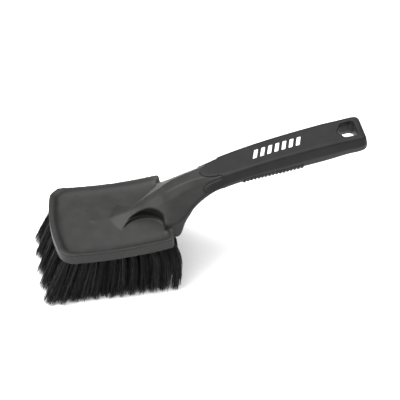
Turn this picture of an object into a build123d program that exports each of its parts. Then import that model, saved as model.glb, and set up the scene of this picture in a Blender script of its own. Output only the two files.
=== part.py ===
"""Short-handled wheel brush: moulded head and arched handle with a soft
overmoulded grip, nine staggered rows of filament tufts, and one flat-wire
anchor at the root of every tuft.

Millimetres, +Z up, +X from the head to the end of the handle, brush standing
on its bristle tips at z = 0. The geometry is laid out from the middle of the
head and moved at the end so that the origin is under the middle of the
whole brush.
"""
import math
import os

from build123d import *

# ---- head -------------------------------------------------------------
HEAD_LENGTH = 95.0        # between front and rear corners
HEAD_FRONT_WIDTH = 82.0
HEAD_REAR_WIDTH = 79.0
FRONT_BULGE = 6.0         # the front edge is an arc
FRONT_CORNER = 13.0
REAR_CORNER = 3.0
BLOCK_THICKNESS = 11.0
BLOCK_SAG = 3.6           # the block is a shallow arch, low in the middle
RIM_Z = 61.0              # top of the rim at the corners
RIM_WIDTH = 2.8           # sides and rear
FRONT_RIM_WIDTH = 5.5
DISH_DEPTH = 2.4
GATE_X = -17.0            # injection gate mark in the dish
GATE_RADIUS = 1.5

# ---- neck and handle ----------------------------------------------------
HANDLE_END = 217.5
END_ROUND = 4.0
END_TILT = 9.0            # degrees; the end face leans, its bottom edge outermost
TILT_START = 150.0
HANG_HOLE = [(194.4, 0), (199.3, 8.3), (211.0, 9.6)]   # half of its outline
HANG_HOLE_CORNER = 2.4
FLARE_Z = RIM_Z + 50.0    # below this the hole widens towards the underside
FLARE_WIDTH = 6.6
FLARE_HEIGHT = 12.0
POCKET_RADIUS = 22.0      # thumb and finger scoops beside the neck, at their foot
POCKET_CENTRE = (23.8, 26.8)
POCKET_REAR = 42.0
POCKET_LEAN = 0.18        # the wall leans out over the scoop by this much of its height
LEDGE_WIDTH = 1.2         # low step round the foot of each scoop wall
LEDGE_Z = RIM_Z - 2.6

# ---- grip ---------------------------------------------------------------
GRIP_START = 94.0         # where it goes all the way round
PETAL_LENGTH = 17.0       # how far its three petals reach ahead of that
PETAL_Z = RIM_Z + 31.2    # middle of the side petals at GRIP_START
PETAL_SLOPE = 17.0        # degrees
TOP_PETAL_WIDTH = 18.8
TOP_PETAL_FLOOR = 5.0     # it stays this far above the middle of the side ones
SIDE_PETAL_HEIGHT = 8.6
SIDE_PETAL_GAP = 22.0     # across the neck between the side petals
GRIP_THICKNESS = 2.2
GRIP_PROUD = 0.5          # it stands this far above the hard plastic
RIB_COUNT = 17
RIB_PITCH = 3.1
RIB_HEIGHT = 0.9
RIB_DEPTH = 9.0           # how far up the sides they run, above and below the edge
RIB_START = 113.0

# ---- bristles -----------------------------------------------------------
ROW_COUNT = 9
ROW_PITCH = 8.4
TUFTS_LONG_ROW = 12
TUFTS_SHORT_ROW = 11
TUFT_INSET = 6.5          # first hole from the edge of the block
HOLE_RADIUS = 2.2
HOLE_DEPTH = 7.0
ROOT_RADIUS = 1.55
TIP_RADIUS = 4.4
TIP_FRONT = -65.0         # the tips fan out to these lines
TIP_BULGE = 2.5
TIP_REAR = 52.0
FRONT_SPREAD = 1.08       # sideways fan of the tips, as a multiple of the root's place
REAR_SPREAD = 1.22
TRIM = 6.0                # each tuft is cut level this far short of its full length
ANCHOR = (0.4, 2.4, 2.4)  # flat wire: thickness, width, height
ANCHOR_GAP = 0.03

# Half sections of neck and handle: x, then (half width, height above the rim)
# of the top facet, the crease below it, the widest line and the bottom edge.
SECTIONS = [
    (-8.0, (0.4, -9.2), (5.0, -10.0), (15.0, -11.2), (15.0, -12.8)),
    (-3.0, (0.4, -6.4), (6.0, -7.6), (17.0, -9.6), (17.0, -12.8)),
    (6.5, (0.8, -2.4), (7.0, -3.8), (18.5, -6.6), (19.0, -12.8)),
    (13.7, (1.2, 0.5), (8.0, -1.3), (20.5, -5.1), (21.5, -12.8)),
    (26.3, (2.3, 7.8), (9.4, 5.0), (23.0, -1.5), (24.0, -12.8)),
    (37.0, (3.5, 15.0), (10.4, 11.0), (25.0, 0.8), (26.4, -12.8)),
    (46.0, (4.5, 21.2), (11.0, 16.4), (26.4, 3.0), (28.0, -12.8)),
    (50.5, (4.7, 24.0), (11.0, 19.2), (26.4, 4.2), (28.4, -12.8)),
    (54.5, (4.8, 26.1), (10.9, 21.5), (26.0, 5.8), (28.0, -12.0)),
    (58.0, (4.8, 27.7), (10.6, 23.3), (25.2, 7.8), (26.4, -4.4)),
    (62.0, (4.8, 29.5), (10.2, 25.2), (23.4, 11.2), (23.8, 3.6)),
    (67.5, (4.9, 31.5), (9.8, 27.4), (20.8, 16.2), (20.4, 10.6)),
    (73.0, (5.2, 33.2), (9.6, 29.4), (18.6, 20.4), (17.8, 14.4)),
    (84.0, (7.2, 36.0), (10.2, 33.6), (16.0, 26.3), (14.8, 20.8)),
    (94.6, (9.7, 38.6), (11.6, 37.3), (14.6, 30.0), (13.0, 24.8)),
    (105.0, (10.8, 41.4), (12.2, 40.2), (14.2, 33.6), (12.3, 27.4)),
    (116.0, (11.2, 44.4), (12.5, 43.3), (14.1, 36.6), (12.0, 29.5)),
    (130.0, (11.4, 48.0), (12.7, 46.9), (14.2, 39.6), (12.0, 31.7)),
    (145.0, (11.6, 51.5), (12.8, 50.4), (14.3, 42.6), (12.0, 33.5)),
    (160.0, (11.8, 54.5), (13.0, 53.4), (14.3, 45.4), (12.0, 35.9)),
    (174.0, (12.0, 57.0), (13.1, 55.9), (14.3, 47.8), (12.0, 38.2)),
    (188.0, (12.2, 59.3), (13.3, 58.2), (14.4, 50.2), (12.1, 41.0)),
    (204.0, (12.3, 61.3), (13.3, 60.2), (14.6, 53.2), (12.5, 44.8)),
    (220.0, (12.3, 62.9), (13.3, 61.8), (14.8, 55.6), (12.9, 48.0)),
]
CORNER_RADII = (0.9, 0.9, 3.0, 4.0)   # the same four lines, rounded

BEYOND = 100.0            # reach of cutting shapes, well past the brush


def sag(x):
    """How far the arched block lies below its corners at x."""
    return BLOCK_SAG * (1.0 - (2.0 * x / HEAD_LENGTH) ** 2)


def arc_band(top, thickness):
    """Side view of the arched block as a slab across the whole width."""
    reach = HEAD_LENGTH / 2 + 15.0
    upper = [(x, RIM_Z - top - sag(x)) for x in (-reach, 0.0, reach)]
    lower = [(x, z - thickness) for x, z in upper]
    outline = [
        ThreePointArc(*upper),
        Line(upper[2], lower[2]),
        ThreePointArc(*reversed(lower)),
        Line(lower[0], upper[0]),
    ]
    return extrude(Plane.XZ * make_face(outline), BEYOND, both=True)


def head_outline(inset=0.0, front_inset=0.0):
    """Plan of the head: tapered sides, arched front, rounded corners."""
    x_rear = HEAD_LENGTH / 2 - inset
    x_front = -HEAD_LENGTH / 2 + front_inset
    y_rear = HEAD_REAR_WIDTH / 2 - inset
    y_front = HEAD_FRONT_WIDTH / 2 - inset
    face = make_face([
        Line((x_rear, -y_rear), (x_rear, y_rear)),
        Line((x_rear, y_rear), (x_front, y_front)),
        ThreePointArc((x_front, y_front), (x_front - FRONT_BULGE, 0), (x_front, -y_front)),
        Line((x_front, -y_front), (x_rear, -y_rear)),
    ])
    corners = face.vertices().sort_by(Axis.X)
    face = fillet(corners[:2], FRONT_CORNER)
    return fillet(face.vertices().sort_by(Axis.X)[-2:], REAR_CORNER)


def head_block():
    """Arched block with a raised rim round a shallow dish."""
    block = extrude(head_outline(), BEYOND) & arc_band(0.0, BLOCK_THICKNESS)
    dish = extrude(head_outline(RIM_WIDTH, FRONT_RIM_WIDTH), BEYOND)
    return block - (dish & arc_band(-BLOCK_THICKNESS, BLOCK_THICKNESS + DISH_DEPTH))


def station_plane(x):
    """Upright plane at x, leaning more and more towards the end of the handle."""
    share = min(max((x - TILT_START) / (HANDLE_END - TILT_START), 0.0), 1.0)
    lean = math.radians(END_TILT) * share * share * (3 - 2 * share)
    z_dir = (math.cos(lean), 0, math.sin(lean))
    return Plane(origin=(x, 0, mid_height(x)), x_dir=(0, 1, 0), z_dir=z_dir)


def rounded_section(x, points, radii):
    """Closed section at x through a symmetric outline with rounded corners."""
    middle_z = mid_height(x)
    points = [(y, z - middle_z) for y, z in points]
    ring = points + [(-y, z) for y, z in reversed(points)]
    sizes = list(radii) + list(reversed(radii))
    edges, first, last = [], None, None
    for i, corner in enumerate(ring):
        before, after = ring[i - 1], ring[(i + 1) % len(ring)]
        a, c, b = Vector(*before), Vector(*corner), Vector(*after)
        to_a, to_b = (a - c), (b - c)
        half = math.radians(to_a.get_angle(to_b)) / 2
        reach = min(sizes[i] / math.tan(half), 0.45 * to_a.length, 0.45 * to_b.length)
        radius = reach * math.tan(half)
        start, end = c + to_a.normalized() * reach, c + to_b.normalized() * reach
        inward = (to_a.normalized() + to_b.normalized()).normalized()
        middle = c + inward * (radius / math.sin(half) - radius)
        if last is not None:
            edges.append(Line(last, start))
        edges.append(ThreePointArc(start, middle, end))
        first, last = first or start, end
    edges.append(Line(last, first))
    return station_plane(x) * make_face(edges)


def grown(points, amount):
    """The same half section moved outwards by an amount."""
    pushes = ((0.75, 1.0), (0.9, 0.6), (1.0, 0.0), (0.8, -1.0))
    return [(max(y + amount * dy, 0.3), z + amount * dz)
            for (y, z), (dy, dz) in zip(points, pushes)]


def half_section(x):
    """Half section at any x, between the two nearest listed ones."""
    for low, high in zip(SECTIONS, SECTIONS[1:]):
        if x <= high[0]:
            t = (x - low[0]) / (high[0] - low[0])
            return [(a[0] + t * (b[0] - a[0]), RIM_Z + a[1] + t * (b[1] - a[1]))
                    for a, b in zip(low[1:], high[1:])]


def mid_height(x):
    """Height half way between the top facet and the bottom edge at x."""
    section = half_section(x)
    return (section[0][1] + section[3][1]) / 2


def handle_loft(grow=0.0, start=-8.0, end=HANDLE_END):
    """Neck and handle as one smooth body with a rounded end."""
    stations = [x for x, *_ in SECTIONS if start < x < end - END_ROUND - 3.0]
    stations = [start] + stations + [end - END_ROUND * k for k in (1.0, 0.55, 0.25, 0.08, 0.0)]
    faces = []
    for x in stations:
        over = max(0.0, x - (end - END_ROUND))
        inset = END_ROUND - math.sqrt(END_ROUND ** 2 - (0.97 * over) ** 2)
        points = grown(half_section(x), grow - inset)
        faces.append(rounded_section(x, points, [max(r + grow, 0.4) for r in CORNER_RADII]))
    return loft(faces)


def pocket(side):
    """Everything outside the curved, overhanging wall of one scoop, with its ledge."""
    x, y = POCKET_CENTRE
    top_radius = POCKET_RADIUS - POCKET_LEAN * BEYOND
    wall = Pos(x, side * y, LEDGE_Z + BEYOND / 2) * Cone(POCKET_RADIUS, top_radius, BEYOND)
    foot = Pos(x, side * y, LEDGE_Z - BEYOND / 2) * Cylinder(POCKET_RADIUS - LEDGE_WIDTH, BEYOND)
    width = 2 * (POCKET_RADIUS - LEDGE_WIDTH)
    open_side = Pos(x, side * (y + BEYOND / 2), LEDGE_Z) * Box(width, BEYOND, 2 * BEYOND)
    limit = Pos(POCKET_REAR - BEYOND / 2, 0, LEDGE_Z) * Box(BEYOND, 2 * BEYOND, 2 * BEYOND)
    return (wall + foot + open_side) & limit


def hang_hole():
    """Shield-shaped hanging hole, blunt tip towards the head, flared below."""
    corners = HANG_HOLE + [(x, -y) for x, y in reversed(HANG_HOLE[1:])]
    face = make_face(Polyline(*corners, corners[0]))
    face = fillet(face.vertices(), HANG_HOLE_CORNER)
    wide = Pos(0, 0, FLARE_Z - FLARE_HEIGHT) * offset(face, FLARE_WIDTH)
    return Pos(0, 0, RIM_Z) * extrude(face, BEYOND) + loft([wide, Pos(0, 0, FLARE_Z) * face])


def grip_zone():
    """Space taken by the grip: all of the handle, and three petals on the neck."""
    length = HANDLE_END - GRIP_START + BEYOND
    back = Pos(GRIP_START + length / 2, 0, PETAL_Z) * Box(length, BEYOND, BEYOND)
    slope = Pos(GRIP_START, 0, PETAL_Z) * Rot(0, -PETAL_SLOPE, 0)
    top = Pos(GRIP_START, 0, 0) * extrude(Ellipse(PETAL_LENGTH, TOP_PETAL_WIDTH / 2), 2 * BEYOND)
    over_sides = Pos(0, 0, TOP_PETAL_FLOOR + BEYOND / 2) * Box(BEYOND, BEYOND, BEYOND)
    across = Plane.XZ * Ellipse(PETAL_LENGTH, SIDE_PETAL_HEIGHT / 2)
    sides = extrude(across, BEYOND, both=True) - Box(BEYOND, SIDE_PETAL_GAP, BEYOND)
    return back + (top & slope * over_sides) + slope * sides


def grip_rib(x):
    """One low rib across the underside of the grip."""
    face = rounded_section(x, grown(half_section(x), GRIP_PROUD + RIB_HEIGHT), CORNER_RADII)
    lower = Pos(x, 0, half_section(x)[3][1]) * Box(BEYOND, BEYOND, RIB_DEPTH)
    return extrude(face, RIB_PITCH / 4, both=True) & lower


def grip_sleeve(core):
    """Soft sleeve over the handle core, open only at the hanging hole."""
    skin = handle_loft(GRIP_PROUD, start=70.0, end=HANDLE_END + GRIP_PROUD)
    for i in range(RIB_COUNT):
        skin += grip_rib(RIB_START + i * RIB_PITCH)
    return (skin & grip_zone()) - core - hang_hole()


def tuft_rows():
    """Root and tip of every tuft, row by row across the block."""
    rows = []
    for row in range(ROW_COUNT):
        y = (row - (ROW_COUNT - 1) / 2) * ROW_PITCH
        bulge = 1 - (2 * y / HEAD_FRONT_WIDTH) ** 2
        x_front = -HEAD_LENGTH / 2 - FRONT_BULGE * bulge + TUFT_INSET
        x_rear = HEAD_LENGTH / 2 - TUFT_INSET
        tip_front = TIP_FRONT + TIP_BULGE * (1 - bulge)
        offset, count = (0.0, TUFTS_LONG_ROW) if row % 2 == 0 else (0.5, TUFTS_SHORT_ROW)
        tufts = []
        for i in range(count):
            share = (i + offset) / (TUFTS_LONG_ROW - 1)
            x = x_front + share * (x_rear - x_front)
            root = Vector(x, y, RIM_Z - BLOCK_THICKNESS - sag(x))
            spread = FRONT_SPREAD + share * (REAR_SPREAD - FRONT_SPREAD)
            tip = Vector(tip_front + share * (TIP_REAR - tip_front), spread * y, 0.0)
            tufts.append((root, tip))
        rows.append(tufts)
    return rows


def root_plane(root, tip):
    """Plane at the bottom of the tuft's hole, looking out along the tuft."""
    out = (tip - root).normalized()
    return Plane(origin=root - out * HOLE_DEPTH, x_dir=(0, 1, 0), z_dir=out)


def tuft_hole(root, tip):
    return root_plane(root, tip) * extrude(Circle(HOLE_RADIUS), 1.5 * HOLE_DEPTH)


def tuft(root, tip):
    """Tapered bundle of filaments, trimmed level, slotted for its anchor."""
    plane = root_plane(root, tip)
    length = (tip - plane.origin).length
    share = (length + TRIM) / length
    end_radius = ROOT_RADIUS + (TIP_RADIUS - ROOT_RADIUS) * share
    bundle = plane * loft([Circle(ROOT_RADIUS), Pos(0, 0, length + TRIM) * Circle(end_radius)])
    bundle -= Pos(tip.X, tip.Y, -BEYOND / 2) * Box(BEYOND, BEYOND, BEYOND)
    gap = 2 * ANCHOR_GAP
    slot = Pos(0, 0, ANCHOR[2] / 2) * Box(ANCHOR[0] + gap, 4 * ROOT_RADIUS, ANCHOR[2] + gap)
    return bundle - plane * slot


def anchor(root, tip):
    """Flat-wire staple at the bottom of the hole."""
    return root_plane(root, tip) * (Pos(0, 0, ANCHOR[2] / 2) * Box(*ANCHOR))


def brush_body(core, rows):
    """One moulding: dished block, neck with scoops, and handle core."""
    neck = handle_loft() - grip_zone() - pocket(1) - pocket(-1)
    gate = Pos(GATE_X, 0, RIM_Z - DISH_DEPTH - sag(GATE_X)) * Cylinder(GATE_RADIUS, 1.0)
    body = head_block() + neck + core + gate - hang_hole()
    holes = [tuft_hole(*ends) for row in rows for ends in row]
    return body - holes


def main():
    rows = tuft_rows()
    core = handle_loft(-GRIP_THICKNESS, start=70.0, end=HANDLE_END - GRIP_THICKNESS)
    nodes = {"brush_body": brush_body(core, rows), "grip_sleeve": grip_sleeve(core)}
    for number, row in enumerate(rows, start=1):
        nodes[f"tufts_row_{number}"] = Compound(children=[tuft(*ends) for ends in row])
        nodes[f"anchors_row_{number}"] = Compound(children=[anchor(*ends) for ends in row])

    boxes = [node.bounding_box() for node in nodes.values()]
    middle = (min(b.min.X for b in boxes) + max(b.max.X for b in boxes)) / 2
    os.makedirs("parts", exist_ok=True)
    for name, node in nodes.items():
        export_step(Pos(-middle, 0, 0) * node, f"parts/{name}.step")


main()
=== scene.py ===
"""Looks of the wheel brush: moulded head and neck, soft grip with its print,
and some seventeen thousand loose filaments standing in their tuft holes.

Metres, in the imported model's frame: +X from the head to the hanging hole,
+Z up from the bristle tips that the brush stands on.
"""

import math

import bpy
import bmesh
import numpy as np
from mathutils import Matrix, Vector
from mathutils.bvhtree import BVHTree


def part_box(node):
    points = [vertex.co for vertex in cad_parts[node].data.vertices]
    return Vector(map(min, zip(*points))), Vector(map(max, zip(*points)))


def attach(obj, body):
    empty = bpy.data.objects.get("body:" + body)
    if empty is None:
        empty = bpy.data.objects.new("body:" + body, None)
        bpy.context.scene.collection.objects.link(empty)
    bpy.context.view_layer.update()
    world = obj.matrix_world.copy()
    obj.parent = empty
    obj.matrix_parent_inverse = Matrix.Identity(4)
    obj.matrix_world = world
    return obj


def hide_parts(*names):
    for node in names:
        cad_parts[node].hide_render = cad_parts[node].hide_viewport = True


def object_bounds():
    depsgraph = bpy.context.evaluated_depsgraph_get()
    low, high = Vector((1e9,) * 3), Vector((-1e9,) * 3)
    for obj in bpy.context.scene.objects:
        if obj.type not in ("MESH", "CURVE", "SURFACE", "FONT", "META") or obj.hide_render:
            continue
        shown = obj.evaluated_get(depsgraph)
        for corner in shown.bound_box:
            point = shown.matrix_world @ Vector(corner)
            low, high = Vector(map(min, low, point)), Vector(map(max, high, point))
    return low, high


MM = 0.001

# ---- camera ---------------------------------------------------------------
AZIMUTH = -11.14          # degrees
ELEVATION = 46.0
DISTANCE = 1125 * MM
LENS = 117.0
AIM = Vector((2.8, 1.1, 61.0)) * MM

# ---- moulded parts ----------------------------------------------------------
WELD = 0.002 * MM         # points closer than this are one
VOXEL = 0.6 * MM          # grid of the rounded meshes
RELAX = 0.5               # share of the way that a relaxing step goes
BODY_ROUNDS = 4           # relaxing steps that round every edge
SLEEVE_ROUNDS = 2
RIM_ROUNDS = 60           # and those that soften the inside of the rim
SLEEVE_FIT = 0.35 * MM    # the soft grip swells against the hard plastic
RIM_Z = 61 * MM           # top of the rim round the dish
DISH_ZONE = 9 * MM        # what is softened lies this far below it
RIM_BAND = 17 * MM        # and this close to the outline
FRONT_RIM = 2.7 * MM      # the rim is this much wider at the front
SINK = 1.3 * MM           # the dish is this much deeper along its rim
SINK_START = 3 * MM       # from this far inside the outline,
SINK_AT = 8 * MM          # most at this distance,
SINK_END = 38 * MM        # and no more from here inwards
SIDE_FADE = (1.0 * MM, 3 * MM)    # the softening sets in over this distance
FRONT_FADE = (2.5 * MM, 6 * MM)   # from each edge of the head
REAR_FADE = (0.8 * MM, 2 * MM)
LOW_FADE = 1 * MM
HIGH_FADE = (1.5 * MM, 2 * MM)    # how far above the rim it ends, and over what height
FACING_UP = (0.0, 0.35)           # it leaves walls and undersides alone
HEAD_LENGTH = 101 * MM
HEAD_TAPER = 3 * MM       # the head is this much narrower at the rear

# ---- filaments --------------------------------------------------------------
PER_TUFT = 165
THREAD_RADIUS = 0.17 * MM
THREAD_SIDES = 4
THREAD_POINTS = 12
CLUMPS = 11               # strands that hold together within a tuft
CLUMP_SPREAD = 0.5        # of their middles; these shares are of the tuft's radius
GATHER = 0.08             # how far a filament leans towards its clump
SCATTER = 0.07            # each filament's own offset
CLUMP_DRIFT = 0.1         # each clump's offset
STRAY_DRIFT = 0.25        # and that of a filament that stands out
PACKED_RADIUS = 1.95 * MM  # in the hole
FAN_RADIUS = 5.6 * MM     # at the tips
HOLE_DEPTH = 7.0 * MM
FAN_POWER = 0.6           # the fan opens early, just outside the hole
CRIMP = 0.16 * MM
CRIMP_POWER = 0.3
CRIMP_WAVES = (5.0, 7.5)  # along one filament
BOW = 1.2 * MM
STRAY = 0.04              # share of filaments that stand out from their tuft
UNEVEN = 3.0 * MM         # the tips end up to this far above the floor
UNEVEN_POWER = 2.2        # most of them much less
END_TAPER = 0.45          # thickness of a filament's end
BELLY = 6.0 * MM          # the rearmost tufts bulge backwards by this much
TUCK = 3.5 * MM           # and their tips come back in
REAR_LIFT = 8.0 * MM      # the tips of the outermost filaments there are worn short
REAR_ZONE = (0.4, 1.0)    # where along the head that sets in
OUTER_ZONE = (-0.3, 1.0)  # and where across a tuft
ROOT_SLICE = 1.2 * MM     # a tuft's root and tip are the middles of these slices
TIP_SLICE = 0.2 * MM

# ---- print on the grip --------------------------------------------------------
BAR_COUNT = 7
BAR_PITCH = 6.1 * MM
BAR_WIDTH = 3.3 * MM
BAR_LENGTH = 9.0 * MM
BAR_SLANT = 0.35          # sideways shift over its length
BAR_CORNER = 0.7 * MM
BAR_START = 94 * MM       # from the first bar to the end of the handle
BAR_CORNER_STEPS = 4
INK = 0.05 * MM           # thickness of the ink
INK_ROOT = 4 * INK        # how far the bars reach into the grip
RAY_START = 10 * MM       # rays that find the grip's surface start this far above the brush

# ---- stage ------------------------------------------------------------------
FLOOR_HALF = 3.0
LIGHT_AIM = (0, 0, 0.06)

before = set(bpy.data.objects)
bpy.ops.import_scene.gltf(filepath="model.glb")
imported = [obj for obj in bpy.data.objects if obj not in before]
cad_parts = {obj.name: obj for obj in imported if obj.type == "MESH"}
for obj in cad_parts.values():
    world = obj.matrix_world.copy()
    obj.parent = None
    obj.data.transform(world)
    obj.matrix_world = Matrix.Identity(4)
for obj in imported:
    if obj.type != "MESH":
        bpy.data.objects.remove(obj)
cad_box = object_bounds()
head_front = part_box("brush_body")[0][0]
random = np.random.default_rng(7)


# ---- meshes -----------------------------------------------------------------
def read_points(mesh):
    flat = np.empty(len(mesh.vertices) * 3)
    mesh.vertices.foreach_get("co", flat)
    return flat.reshape(-1, 3)


def read_normals(mesh):
    flat = np.empty(len(mesh.vertices) * 3)
    mesh.vertices.foreach_get("normal", flat)
    return flat.reshape(-1, 3)


def read_edges(mesh):
    flat = np.empty(len(mesh.edges) * 2, np.int64)
    mesh.edges.foreach_get("vertices", flat)
    return flat.reshape(-1, 2)


def make_object(name, mesh):
    piece = bpy.data.objects.new(name, mesh)
    bpy.context.scene.collection.objects.link(piece)
    return piece


def relax(points, edges, strength, rounds):
    """Moves each point by its strength towards the middle of its neighbours."""
    count = len(points)
    degree = np.bincount(edges.ravel(), minlength=count)[:, None]
    start, end = edges.T
    for _ in range(rounds):
        total = np.stack([
            np.bincount(start, points[end, axis], count)
            + np.bincount(end, points[start, axis], count)
            for axis in range(3)
        ], axis=1)
        points = points + strength[:, None] * (total / degree - points)
    return points


def moulded(name, node, rounds, swell=0.0):
    """A rounded copy of a CAD node on an even grid, grown outwards by swell."""
    rough = bmesh.new()
    rough.from_mesh(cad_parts[node].data)
    bmesh.ops.remove_doubles(rough, verts=rough.verts, dist=WELD)
    mesh = bpy.data.meshes.new(name)
    rough.to_mesh(mesh)
    rough.free()
    piece = make_object(name, mesh)
    grid = piece.modifiers.new("grid", "REMESH")
    grid.mode = "VOXEL"
    grid.voxel_size = VOXEL
    even = bpy.data.meshes.new_from_object(
        piece.evaluated_get(bpy.context.evaluated_depsgraph_get()))
    piece.modifiers.clear()
    piece.data = even
    points, edges = read_points(even), read_edges(even)
    points = relax(points, edges, np.full(len(points), RELAX), rounds)
    even.vertices.foreach_set("co", points.ravel())
    even.update()
    points = points + swell * read_normals(even)
    even.vertices.foreach_set("co", points.ravel())
    even.shade_smooth()
    return piece


def smooth_step(low, high, value):
    """0 below low, 1 above high, with a smooth rise between them."""
    share = np.clip((value - low) / (high - low), 0.0, 1.0)
    return share * share * (3 - 2 * share)


def soften_dish(piece):
    """Sinks the dish along its rim, and rounds the inside of the rim."""
    mesh = piece.data
    points, edges = read_points(mesh), read_edges(mesh)
    x, y, z = points.T
    front = points[:, 0].min()
    half_width = points[:, 1].max() - HEAD_TAPER / 2 * (x - front) / HEAD_LENGTH
    from_side = half_width - np.abs(y)
    from_front = x - front
    from_rear = front + HEAD_LENGTH - x
    inside = (
        smooth_step(*SIDE_FADE, from_side)
        * smooth_step(*FRONT_FADE, from_front)
        * smooth_step(*REAR_FADE, from_rear)
        * smooth_step(0, LOW_FADE, z - (RIM_Z - DISH_ZONE))
        * smooth_step(0, HIGH_FADE[1], RIM_Z + HIGH_FADE[0] - z)
        * smooth_step(*FACING_UP, read_normals(mesh)[:, 2])
    )
    from_rim = np.minimum(from_side, from_front - FRONT_RIM)
    deeper = smooth_step(SINK_START, SINK_AT, from_rim)
    shallower = smooth_step(SINK_AT, SINK_END, from_rim)
    points[:, 2] -= SINK * inside * deeper * (1 - shallower)
    strength = inside * (1 - smooth_step(RIM_BAND / 2, RIM_BAND, from_rim))
    points = relax(points, edges, RELAX * strength, RIM_ROUNDS)
    mesh.vertices.foreach_set("co", points.ravel())
    mesh.update()


# ---- nodes of the materials -------------------------------------------------
def add(tree, kind, values=(), **settings):
    """Adds a shader node: values are its inputs, numbers or sockets to link."""
    node = tree.nodes.new("ShaderNode" + kind)
    for key, value in settings.items():
        setattr(node, key, value)
    for key, value in dict(values).items():
        if isinstance(value, bpy.types.NodeSocket):
            tree.links.new(value, node.inputs[key])
        else:
            node.inputs[key].default_value = value
    return node


def ramp(tree, factor, stops):
    """Colour ramp through (place, grey or colour) stops."""
    node = add(tree, "ValToRGB", {"Fac": factor})
    elements = node.color_ramp.elements
    while len(elements) < len(stops):
        elements.new(0.5)
    for element, (place, colour) in zip(elements, stops):
        element.position = place
        element.color = (*colour, 1.0)
    return node.outputs["Color"]


def grey(value, warmth=0.0):
    return (value * (1 + warmth), value, value * (1 - warmth))


def new_material(name, gloss=0.5):
    """A material with its node tree and shader; gloss is the strength of its shine."""
    material = bpy.data.materials.new(name)
    material.use_nodes = True
    shader = material.node_tree.nodes["Principled BSDF"]
    shader.inputs["Specular IOR Level"].default_value = gloss
    return material, material.node_tree, shader


def moulded_plastic(name, low, high, roughness, grain_size, grain_depth, warmth=0.02):
    """Dark moulded plastic: fine grain, faint mottling, dull and shiny patches."""
    material, tree, shader = new_material(name, 0.2)
    place = add(tree, "TexCoord").outputs["Object"]
    mottle = add(tree, "TexNoise", {"Vector": place, "Scale": 90.0, "Detail": 4.0})
    grain = add(tree, "TexNoise", {"Vector": place, "Scale": 1 / grain_size, "Detail": 2.0})
    flow = add(tree, "TexNoise", {"Vector": place, "Scale": 22.0, "Detail": 2.0})
    colour = ramp(tree, mottle.outputs["Fac"], [(0.3, grey(low, warmth)), (0.7, grey(high, warmth))])
    tree.links.new(colour, shader.inputs["Base Color"])
    patches = add(tree, "MapRange", {"Value": flow.outputs["Fac"], "From Min": 0.3, "From Max": 0.7,
                                     "To Min": roughness - 0.05, "To Max": roughness + 0.06})
    tree.links.new(patches.outputs["Result"], shader.inputs["Roughness"])
    bump = add(tree, "Bump", {"Height": grain.outputs["Fac"], "Strength": 0.35,
                              "Distance": grain_depth})
    tree.links.new(bump.outputs["Normal"], shader.inputs["Normal"])
    return material


def filament_material():
    """Black filaments, each a little different, paler where the ends are split."""
    material, tree, shader = new_material("filament", 0.15)
    place = add(tree, "TexCoord").outputs["Object"]
    height = add(tree, "SeparateXYZ", {"Vector": place}).outputs["Z"]
    tone = add(tree, "Attribute", attribute_name="tone").outputs["Fac"]
    noise = add(tree, "TexNoise", {"Vector": place, "Scale": 700.0, "Detail": 2.0})
    thread = ramp(tree, tone, [(0.0, grey(0.002)), (0.7, grey(0.005)), (0.86, grey(0.018)),
                               (0.94, grey(0.055)), (1.0, grey(0.09))])
    ends = add(tree, "MapRange", {"Value": height, "From Min": 0.001, "From Max": 0.012,
                                  "To Min": 0.55, "To Max": 0.0})
    frayed = add(tree, "Math", {0: ends.outputs["Result"], 1: noise.outputs["Fac"]},
                 operation="MULTIPLY")
    mixed = add(tree, "Mix", {"Factor": frayed.outputs[0], "A": thread, "B": (0.035, 0.034, 0.032, 1)},
                data_type="RGBA")
    tree.links.new(mixed.outputs["Result"], shader.inputs["Base Color"])
    rough = add(tree, "MapRange", {"Value": noise.outputs["Fac"], "To Min": 0.32, "To Max": 0.5})
    tree.links.new(rough.outputs["Result"], shader.inputs["Roughness"])
    return material


def steel_material():
    """Cut flat wire."""
    material, tree, shader = new_material("anchor_wire")
    shader.inputs["Metallic"].default_value = 1.0
    place = add(tree, "TexCoord").outputs["Object"]
    drawn = add(tree, "TexNoise", {"Vector": place, "Scale": 1800.0, "Detail": 3.0})
    colour = ramp(tree, drawn.outputs["Fac"], [(0.3, grey(0.42)), (0.7, grey(0.6))])
    tree.links.new(colour, shader.inputs["Base Color"])
    rough = add(tree, "MapRange", {"Value": drawn.outputs["Fac"], "To Min": 0.25, "To Max": 0.5})
    tree.links.new(rough.outputs["Result"], shader.inputs["Roughness"])
    return material


def ink_material():
    """White pad print, slightly broken up by the grain under it."""
    material, tree, shader = new_material("print_ink")
    place = add(tree, "TexCoord").outputs["Object"]
    wear = add(tree, "TexNoise", {"Vector": place, "Scale": 2200.0, "Detail": 3.0})
    colour = ramp(tree, wear.outputs["Fac"], [(0.3, grey(0.55)), (0.55, grey(0.8))])
    tree.links.new(colour, shader.inputs["Base Color"])
    rough = add(tree, "MapRange", {"Value": wear.outputs["Fac"], "To Min": 0.45, "To Max": 0.65})
    tree.links.new(rough.outputs["Result"], shader.inputs["Roughness"])
    return material


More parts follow.
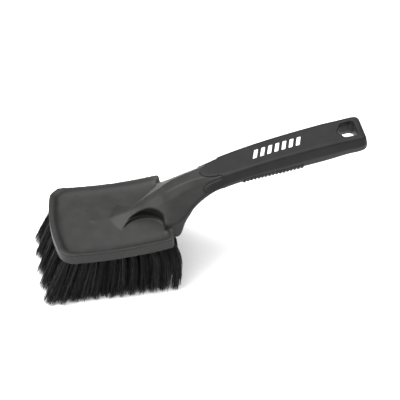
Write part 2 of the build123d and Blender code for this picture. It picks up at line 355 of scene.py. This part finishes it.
# ---- filaments --------------------------------------------------------------
def tuft_ends(node):
    """Root and tip of each tuft in a row, read from its separate CAD solids."""
    solid = bmesh.new()
    solid.from_mesh(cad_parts[node].data)
    bmesh.ops.remove_doubles(solid, verts=solid.verts, dist=WELD)
    seen, ends = set(), []
    for first in solid.verts:
        if first in seen:
            continue
        seen.add(first)
        island = [first]
        for vertex in island:
            for other in (edge.other_vert(vertex) for edge in vertex.link_edges):
                if other not in seen:
                    seen.add(other)
                    island.append(other)
        points = np.array([vertex.co for vertex in island])
        height = points[:, 2]
        root = points[height > height.max() - ROOT_SLICE].mean(0)
        tip = points[height < height.min() + TIP_SLICE].mean(0)
        ends.append((root, tip))
    solid.free()
    return sorted(ends, key=lambda pair: pair[0][0])


def tuft_threads(root, tip):
    """Centre lines of one tuft's filaments: an array of filament, point, XYZ."""
    along = tip - root
    length = np.linalg.norm(along)
    out = along / length
    side = np.cross(out, (0.0, 1.0, 0.0))
    side /= np.linalg.norm(side)
    across = np.cross(out, side)

    def offset(plan):
        return plan[..., :1] * side + plan[..., 1:] * across

    angle = random.uniform(0, 2 * np.pi, PER_TUFT)
    spot = np.sqrt(random.uniform(0, 1, PER_TUFT))[:, None] * np.stack(
        [np.cos(angle), np.sin(angle)], 1)
    seeds = random.normal(0, CLUMP_SPREAD, (CLUMPS, 2))
    clump = ((spot[:, None] - seeds[None]) ** 2).sum(2).argmin(1)
    gathered = (1 - GATHER) * spot + GATHER * seeds[clump]
    gathered = gathered + random.normal(0, SCATTER, (PER_TUFT, 2))
    drift = random.normal(0, CLUMP_DRIFT, (CLUMPS, 2))[clump]
    stray = random.uniform(0, 1, (PER_TUFT, 1)) < STRAY
    drift = drift + stray * random.normal(0, STRAY_DRIFT, (PER_TUFT, 2))
    rear = smooth_step(*REAR_ZONE, (root[0] - head_front) / HEAD_LENGTH)
    step = np.linspace(0, 1, THREAD_POINTS)[None, :, None]
    hole = HOLE_DEPTH / length
    fan = np.clip((step - hole) / (1 - hole), 0, 1) ** FAN_POWER
    plan = spot[:, None] * PACKED_RADIUS * (1 - fan)
    plan = plan + (gathered + drift)[:, None] * FAN_RADIUS * fan
    phase = random.uniform(0, 2 * np.pi, (PER_TUFT, 1, 2))
    waves = random.uniform(*CRIMP_WAVES, (PER_TUFT, 1, 1))
    plan = plan + CRIMP * fan ** CRIMP_POWER * np.sin(waves * 2 * np.pi * step + phase)
    bow = random.normal(0, BOW / 2, (PER_TUFT, 1, 2))
    plan = plan + bow * np.sin(np.pi * fan)
    short = random.uniform(0, 1, (PER_TUFT, 1, 1)) ** UNEVEN_POWER * UNEVEN
    short = short + REAR_LIFT * rear * smooth_step(*OUTER_ZONE, spot[:, :1, None])
    lines = root + along * step * (1 - short / length) + offset(plan)
    lines[..., 0] += rear * (BELLY * np.sin(np.pi * fan) - TUCK * fan ** 2)[..., 0]
    lines[..., 2] = np.maximum(lines[..., 2], THREAD_RADIUS)
    return lines


def tubes(name, lines, radius):
    """One mesh of tapered tubes along many centre lines."""
    count, steps, _ = lines.shape
    tangent = np.gradient(lines, axis=1)
    tangent /= np.linalg.norm(tangent, axis=2, keepdims=True)
    side = np.cross(tangent, (0.0, 1.0, 0.0))
    side /= np.linalg.norm(side, axis=2, keepdims=True)
    across = np.cross(tangent, side)
    turn = np.arange(THREAD_SIDES) * 2 * np.pi / THREAD_SIDES
    taper = np.ones(steps)
    taper[-1] = END_TAPER
    ring = (np.cos(turn)[:, None] * side[:, :, None] + np.sin(turn)[:, None] * across[:, :, None])
    points = lines[:, :, None] + radius * taper[None, :, None, None] * ring
    index = np.arange(count * steps * THREAD_SIDES).reshape(count, steps, THREAD_SIDES)
    turned = np.roll(index, -1, axis=2)
    quads = np.stack([index[:, :-1], index[:, 1:], turned[:, 1:], turned[:, :-1]], -1)
    mesh = bpy.data.meshes.new(name)
    sizes = np.concatenate([np.full(quads.size // 4, 4), np.full(2 * count, THREAD_SIDES)])
    corners = np.concatenate([quads.ravel(), index[:, 0, :].ravel(), index[:, -1, ::-1].ravel()])
    mesh.vertices.add(points.size // 3)
    mesh.vertices.foreach_set("co", points.ravel())
    mesh.loops.add(len(corners))
    mesh.loops.foreach_set("vertex_index", corners)
    mesh.polygons.add(len(sizes))
    mesh.polygons.foreach_set("loop_start", np.concatenate([[0], np.cumsum(sizes)[:-1]]))
    mesh.update(calc_edges=True)
    mesh.validate()
    tone = mesh.attributes.new("tone", "FLOAT", "POINT")
    tone.data.foreach_set("value", np.repeat(random.uniform(0, 1, count), steps * THREAD_SIDES))
    mesh.shade_smooth()
    return make_object(name, mesh)


# ---- stage ------------------------------------------------------------------
def area_light(name, place, aim, size, power):
    light = bpy.data.lights.new(name, "AREA")
    light.shape = "DISK"
    light.size = size
    light.energy = power
    lamp = bpy.data.objects.new(name, light)
    lamp.location = place
    lamp.rotation_euler = (Vector(place) - Vector(aim)).to_track_quat("Z", "Y").to_euler()
    bpy.context.scene.collection.objects.link(lamp)


def studio_sky():
    """Soft light, strongest from straight above."""
    world = bpy.data.worlds.new("studio")
    world.use_nodes = True
    tree = world.node_tree
    height = add(tree, "SeparateXYZ", {"Vector": add(tree, "TexCoord").outputs["Generated"]})
    sky = ramp(tree, height.outputs["Z"], [(0.0, grey(0.01)), (0.5, grey(0.05)), (0.85, grey(0.8)),
                                           (1.0, grey(1.0))])
    tree.links.new(sky, tree.nodes["Background"].inputs["Color"])
    tree.nodes["Background"].inputs["Strength"].default_value = 2.7
    bpy.context.scene.world = world
    bpy.context.scene.view_settings.view_transform = "Standard"


def pale_floor():
    """White paper that the brush stands on."""
    mesh = bpy.data.meshes.new("floor")
    corners = [(x * FLOOR_HALF, y * FLOOR_HALF, 0) for x, y in ((-1, -1), (1, -1), (1, 1), (-1, 1))]
    mesh.from_pydata(corners, [], [(0, 1, 2, 3)])
    floor = make_object("floor", mesh)
    material = bpy.data.materials.new("floor")
    material.use_nodes = True
    tree = material.node_tree
    place = add(tree, "TexCoord").outputs["Object"]
    paper = add(tree, "TexNoise", {"Vector": place, "Scale": 300.0})
    colour = ramp(tree, paper.outputs["Fac"], [(0.3, grey(0.88)), (0.7, grey(0.9))])
    tree.links.new(colour, tree.nodes["Principled BSDF"].inputs["Base Color"])
    tree.nodes["Principled BSDF"].inputs["Roughness"].default_value = 0.9
    mesh.materials.append(material)


def place_camera():
    """Long lens, looking down on the side of the brush, with its head to the left."""
    azimuth = math.radians(AZIMUTH)
    elevation = math.radians(ELEVATION)
    back = Vector((math.sin(azimuth) * math.cos(elevation),
                   -math.cos(azimuth) * math.cos(elevation), math.sin(elevation)))
    camera = bpy.data.objects.new("camera", bpy.data.cameras.new("camera"))
    camera.data.lens = LENS
    camera.location = AIM + back * DISTANCE
    camera.rotation_euler = back.to_track_quat("Z", "Y").to_euler()
    bpy.context.scene.collection.objects.link(camera)
    bpy.context.scene.camera = camera


def stage():
    """Pale floor, soft studio light and the camera."""
    studio_sky()
    pale_floor()
    area_light("key", place=(-0.85, 0.1, 1.25), aim=LIGHT_AIM, size=1.2, power=26.0)
    area_light("fill", place=(0.7, 0.2, 1.4), aim=LIGHT_AIM, size=1.6, power=8.0)
    place_camera()


def bar_outline(middle):
    """Plan of one slanted bar with rounded corners, round its middle."""
    points = []
    for corner, (side_x, side_y) in enumerate(((1, 1), (-1, 1), (-1, -1), (1, -1))):
        for step in range(BAR_CORNER_STEPS + 1):
            angle = math.radians(90 * (corner + step / BAR_CORNER_STEPS))
            x = side_x * (BAR_WIDTH / 2 - BAR_CORNER) + BAR_CORNER * math.cos(angle)
            y = side_y * (BAR_LENGTH / 2 - BAR_CORNER) + BAR_CORNER * math.sin(angle)
            points.append((middle + x + BAR_SLANT * y, y))
    return points


def printed_mark(sleeve):
    """Slanted bars of ink that follow the top of the grip."""
    tree = BVHTree.FromObject(sleeve, bpy.context.evaluated_depsgraph_get())
    above = cad_box[1][2] + RAY_START
    ink = bmesh.new()
    for bar in range(BAR_COUNT):
        outline = bar_outline(cad_box[1][0] - BAR_START + bar * BAR_PITCH)
        hits = [tree.ray_cast(Vector((x, y, above)), Vector((0, 0, -1)))[0] for x, y in outline]
        top = [ink.verts.new(hit + Vector((0, 0, INK))) for hit in hits]
        low = [ink.verts.new(hit - Vector((0, 0, INK_ROOT))) for hit in hits]
        ink.faces.new(top)
        ink.faces.new(low[::-1])
        for i in range(len(top)):
            ink.faces.new((top[i - 1], low[i - 1], low[i], top[i]))
    bmesh.ops.recalc_face_normals(ink, faces=ink.faces)
    mesh = bpy.data.meshes.new("printed_mark")
    ink.to_mesh(mesh)
    ink.free()
    return make_object("printed_mark", mesh)


# ---- pieces -----------------------------------------------------------------
def make_body():
    """The hard moulding: head, neck and handle core."""
    hard = moulded_plastic("hard_plastic", low=0.018, high=0.025, roughness=0.46,
                           grain_size=0.35 * MM, grain_depth=0.05 * MM)
    body = moulded("body", "brush_body", BODY_ROUNDS)
    soften_dish(body)
    body.data.materials.clear()
    body.data.materials.append(hard)
    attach(body, "root")
    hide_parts("brush_body")


def make_sleeve():
    """The soft grip."""
    soft = moulded_plastic("soft_grip", low=0.011, high=0.015, roughness=0.52,
                           grain_size=0.22 * MM, grain_depth=0.04 * MM, warmth=0.0)
    sleeve = moulded("sleeve", "grip_sleeve", SLEEVE_ROUNDS, SLEEVE_FIT)
    sleeve.data.materials.clear()
    sleeve.data.materials.append(soft)
    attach(sleeve, "root")
    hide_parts("grip_sleeve")
    return sleeve


def make_mark(sleeve):
    """The print on the grip."""
    mark = printed_mark(sleeve)
    mark.data.materials.append(ink_material())
    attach(mark, "root")


def make_filaments():
    """Loose filaments in place of each row of plain tufts."""
    threads = filament_material()
    for node in sorted(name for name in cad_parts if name.startswith("tufts_row_")):
        lines = np.concatenate([tuft_threads(*ends) for ends in tuft_ends(node)])
        row = tubes(node.replace("tufts", "filaments"), lines, THREAD_RADIUS)
        row.data.materials.append(threads)
        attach(row, "root")
        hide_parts(node)


def finish_anchors():
    """The CAD anchors keep their shape and get the look of cut wire."""
    wire = steel_material()
    for node in sorted(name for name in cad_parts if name.startswith("anchors_row_")):
        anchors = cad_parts[node]
        anchors.data.materials.clear()
        anchors.data.materials.append(wire)


def main():
    stage()
    make_body()
    make_mark(make_sleeve())
    make_filaments()
    finish_anchors()


main()
